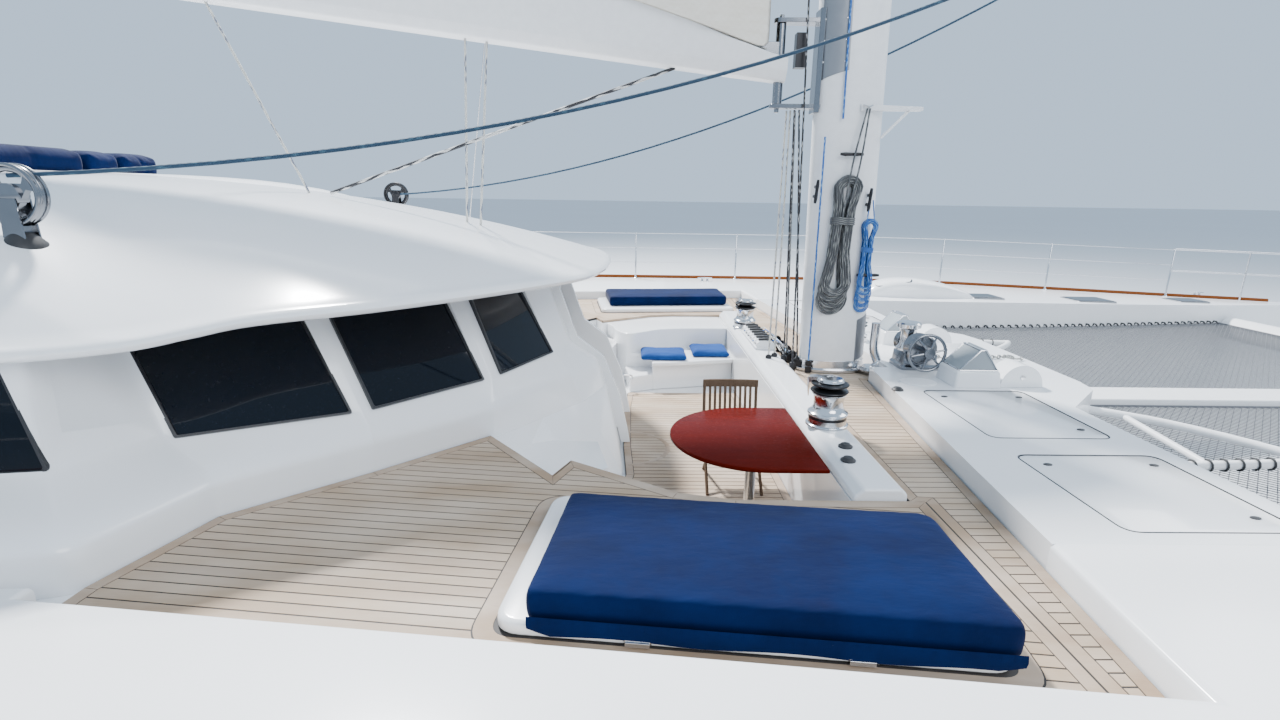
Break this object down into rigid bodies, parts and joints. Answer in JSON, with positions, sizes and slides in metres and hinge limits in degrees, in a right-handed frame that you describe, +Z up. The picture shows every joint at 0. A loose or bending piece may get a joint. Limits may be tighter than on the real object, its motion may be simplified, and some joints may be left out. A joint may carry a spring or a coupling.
{
  "type": "sailing catamaran",
  "caption": "Cruising sailing catamaran with forward cockpit, sun pads, coachroof, flybridge, mast with stowed mainsail, foredeck nets, rudders and propellers",
  "frame": {"origin": "on the waterline, on the centreline, half way along the hulls", "axes": "+X to the bow, +Y to port, +Z up; the waterline is Z 0"},
  "size_m": [27, 12.7, 34.85],
  "materials": {
    "gelcoat": "glossy white gelcoat",
    "teak": "bleached teak planks with dark caulking",
    "seat_fabric": "light blue woven seat fabric",
    "navy_fabric": "navy woven cushion fabric",
    "tinted_glass": "dark tinted glazing",
    "stainless": "polished stainless steel",
    "mast_paint": "white painted spar",
    "sailcloth": "cream sailcloth",
    "net": "grey knotless net",
    "black_plastic": "black moulded plastic",
    "mahogany": "varnished mahogany",
    "weathered_wood": "oiled brown teak",
    "antifouling": "dark blue antifouling paint",
    "grey_rope": "grey braided rope",
    "blue_rope": "blue braided rope",
    "bronze": "bare bronze"
  },
  "bodies": {
    "platform": {"hull_port": "gelcoat", "hull_starboard": "gelcoat", "bridge_deck": "gelcoat", "foredeck": "gelcoat", "forward_deck_teak": "teak", "forward_cockpit_sole": "teak", "forward_coaming": "gelcoat", "port_seat": "gelcoat", "seat_cushion_aft": "seat_fabric", "seat_cushion_forward": "seat_fabric", "coachroof_walls": "gelcoat", "coachroof": "gelcoat", "saloon_glazing": "tinted_glass", "flybridge_coaming": "gelcoat", "flybridge_cushion": "navy_fabric", "mast": "mast_paint", "furled_headsail": "sailcloth", "shroud_port": "stainless", "shroud_starboard": "stainless", "forward_beam": "mast_paint", "longeron": "mast_paint", "net_port": "net", "net_starboard": "net", "guardrail_port": "stainless", "guardrail_starboard": "stainless", "winch_starboard": "stainless", "winch_port": "stainless", "winch_foredeck": "stainless", "windlass": "stainless", "clutch_bank": "black_plastic", "roof_turning_block": "stainless", "table_top": "mahogany", "table_pedestal": "stainless", "chair": "weathered_wood", "aft_bench": "gelcoat", "aft_bench_cushion": "navy_fabric", "halyard_coil_grey": "grey_rope", "halyard_coil_blue": "blue_rope"},
    "boom": {"boom": "mast_paint", "stowed_mainsail": "sailcloth"},
    "hatch_lid_port": {"hatch_lid_port": "gelcoat", "sun_pad_port": "navy_fabric"},
    "hatch_lid_starboard": {"hatch_lid_starboard": "gelcoat", "sun_pad_starboard": "navy_fabric"},
    "locker_lid_inner_port": {"locker_lid_inner_port": "gelcoat"},
    "locker_lid_inner_starboard": {"locker_lid_inner_starboard": "gelcoat"},
    "locker_lid_outer_port": {"locker_lid_outer_port": "gelcoat"},
    "locker_lid_outer_starboard": {"locker_lid_outer_starboard": "gelcoat"},
    "forward_door": {"forward_door": "tinted_glass"},
    "aft_door": {"aft_door": "tinted_glass"},
    "steering_wheel_port": {"steering_wheel_port": "stainless"},
    "steering_wheel_starboard": {"steering_wheel_starboard": "stainless"},
    "rudder_port": {"rudder_port": "antifouling"},
    "rudder_starboard": {"rudder_starboard": "antifouling"},
    "propeller_port": {"propeller_port": "bronze"},
    "propeller_starboard": {"propeller_starboard": "bronze"}
  },
  "joints": [
    {"name": "boom_swing", "type": "hinge", "parent": "platform", "child": "boom", "pos_m": [2.23, 0, 5.15], "axis": [0, 0, 1], "range_deg": [-48, 48]},
    {"name": "hatch_lid_port_lift", "type": "hinge", "parent": "platform", "child": "hatch_lid_port", "pos_m": [1.32345, 4.35617, 2.29], "axis": [-0.9934, -0.1147, 0], "range_deg": [0, 60]},
    {"name": "hatch_lid_starboard_lift", "type": "hinge", "parent": "platform", "child": "hatch_lid_starboard", "pos_m": [1.32345, -4.35617, 2.29], "axis": [0.9934, -0.1147, 0], "range_deg": [0, 60]},
    {"name": "locker_lid_inner_port_lift", "type": "hinge", "parent": "platform", "child": "locker_lid_inner_port", "pos_m": [3.388, 1.785, 2.34], "axis": [0, -1, 0], "range_deg": [0, 80]},
    {"name": "locker_lid_outer_port_lift", "type": "hinge", "parent": "platform", "child": "locker_lid_outer_port", "pos_m": [3.368, 3.14, 2.34], "axis": [0, -1, 0], "range_deg": [0, 80]},
    {"name": "locker_lid_inner_starboard_lift", "type": "hinge", "parent": "platform", "child": "locker_lid_inner_starboard", "pos_m": [3.388, -1.785, 2.34], "axis": [0, -1, 0], "range_deg": [0, 80]},
    {"name": "locker_lid_outer_starboard_lift", "type": "hinge", "parent": "platform", "child": "locker_lid_outer_starboard", "pos_m": [3.368, -3.14, 2.34], "axis": [0, -1, 0], "range_deg": [0, 80]},
    {"name": "forward_door_swing", "type": "hinge", "parent": "platform", "child": "forward_door", "pos_m": [0.105, -0.42, 2.36], "axis": [0, 0, -1], "range_deg": [0, 88]},
    {"name": "aft_door_slide", "type": "slide", "parent": "platform", "child": "aft_door", "axis": [0, -1, 0], "range_m": [0, 1.4]},
    {"name": "rudder_port_turn", "type": "hinge", "parent": "platform", "child": "rudder_port", "pos_m": [-11.3, 5.05, -1], "axis": [0, 0, 1], "range_deg": [-35, 35]},
    {"name": "rudder_starboard_turn", "type": "hinge", "parent": "platform", "child": "rudder_starboard", "pos_m": [-11.3, -5.05, -1], "axis": [0, 0, 1], "range_deg": [-35, 35]},
    {"name": "steering_wheel_port_turn", "type": "hinge", "parent": "platform", "child": "steering_wheel_port", "pos_m": [-9.02, 1.9, 4.8], "axis": [1, 0, 0], "range_deg": [-455, 455]},
    {"name": "steering_wheel_starboard_turn", "type": "hinge", "parent": "platform", "child": "steering_wheel_starboard", "pos_m": [-9.02, -1.9, 4.8], "axis": [1, 0, 0], "range_deg": [-455, 455]},
    {"name": "propeller_port_spin", "type": "hinge", "parent": "platform", "child": "propeller_port", "pos_m": [-9.32, 5.05, -1.18], "axis": [1, 0, 0], "continuous": true},
    {"name": "propeller_starboard_spin", "type": "hinge", "parent": "platform", "child": "propeller_starboard", "pos_m": [-9.32, -5.05, -1.18], "axis": [1, 0, 0], "continuous": true}
  ],
  "couplings": [
    {"joint": "rudder_starboard_turn", "follows": "rudder_port_turn", "ratio": 1},
    {"joint": "steering_wheel_port_turn", "follows": "rudder_port_turn", "ratio": 12.86},
    {"joint": "steering_wheel_starboard_turn", "follows": "rudder_port_turn", "ratio": 12.86}
  ]
}
